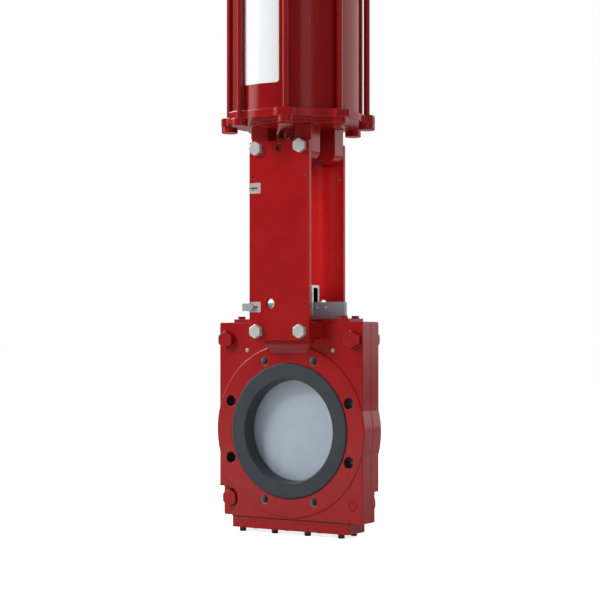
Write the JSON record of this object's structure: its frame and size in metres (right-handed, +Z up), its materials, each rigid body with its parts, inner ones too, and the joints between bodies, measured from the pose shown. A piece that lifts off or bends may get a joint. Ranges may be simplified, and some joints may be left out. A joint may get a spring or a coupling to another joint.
{
  "type": "knife gate valve",
  "caption": "Wafer knife gate valve with a two-part cast body, rubber sleeves, a flat gate, a plate yoke and a double-acting pneumatic cylinder on top.",
  "frame": {"origin": "centre of the bore on the plane where the two body halves meet, which is also the centre of the through flange holes", "axes": "+Z up along the gate's travel, +Y along the pipeline towards the rear face, +X to the right seen from the front"},
  "size_m": [0.34, 0.29, 1.1561],
  "materials": {
    "red_enamel": "gloss",
    "sleeve_rubber": "matt",
    "gate_steel": "ground",
    "zinc_plate": "satin",
    "black_screw": "matt",
    "packing_fibre": "matt",
    "gasket_sheet": "matt",
    "stiffener_steel": "plain",
    "plug_plastic": "satin",
    "pointer_steel": "satin",
    "rod_chrome": "polished",
    "bushing_bronze": "satin",
    "seal_rubber": "satin",
    "piston_aluminium": "turned",
    "guide_plastic": "matt",
    "label_film": "gloss"
  },
  "bodies": {
    "valve": {"front_body_half": "red_enamel", "rear_body_half": "red_enamel", "upper_body_bolts": "red_enamel", "upper_body_nuts": "red_enamel", "lower_body_bolts": "red_enamel", "port_plugs": "plug_plastic", "front_sleeve": "sleeve_rubber", "rear_sleeve": "sleeve_rubber", "front_sleeve_ring": "stiffener_steel", "rear_sleeve_ring": "stiffener_steel", "gland_packing": "packing_fibre", "gland_plate": "red_enamel", "gland_screws": "red_enamel", "bottom_gasket": "gasket_sheet", "bottom_cover": "red_enamel", "bottom_screws": "black_screw", "front_yoke_plate": "red_enamel", "rear_yoke_plate": "red_enamel", "yoke_lower_bolts": "zinc_plate", "yoke_upper_bolts": "zinc_plate", "position_stickers": "label_film", "lower_end_cap": "red_enamel", "yoke_feet": "red_enamel", "rod_wiper": "seal_rubber", "rod_seal": "seal_rubber", "rod_bushing": "bushing_bronze", "cylinder_barrel": "red_enamel", "barrel_seals": "seal_rubber", "upper_end_cap": "red_enamel", "tie_rods": "red_enamel", "tie_rod_washers": "zinc_plate", "tie_rod_nuts": "zinc_plate", "name_label": "label_film"},
    "gate_assembly": {"gate": "gate_steel", "gate_clevis": "gate_steel", "clevis_spacers": "gate_steel", "clevis_bolts": "zinc_plate", "clevis_nuts": "zinc_plate", "pointer_bracket": "pointer_steel", "pointer_screws": "zinc_plate", "piston_rod": "rod_chrome", "rod_lock_nut": "zinc_plate", "piston": "piston_aluminium", "piston_seal": "seal_rubber", "piston_guide_ring": "guide_plastic", "piston_nut": "zinc_plate"}
  },
  "joints": [
    {"name": "gate_slide", "type": "slide", "parent": "valve", "child": "gate_assembly", "axis": [0, 0, 1], "range_m": [0, 0.232]}
  ]
}
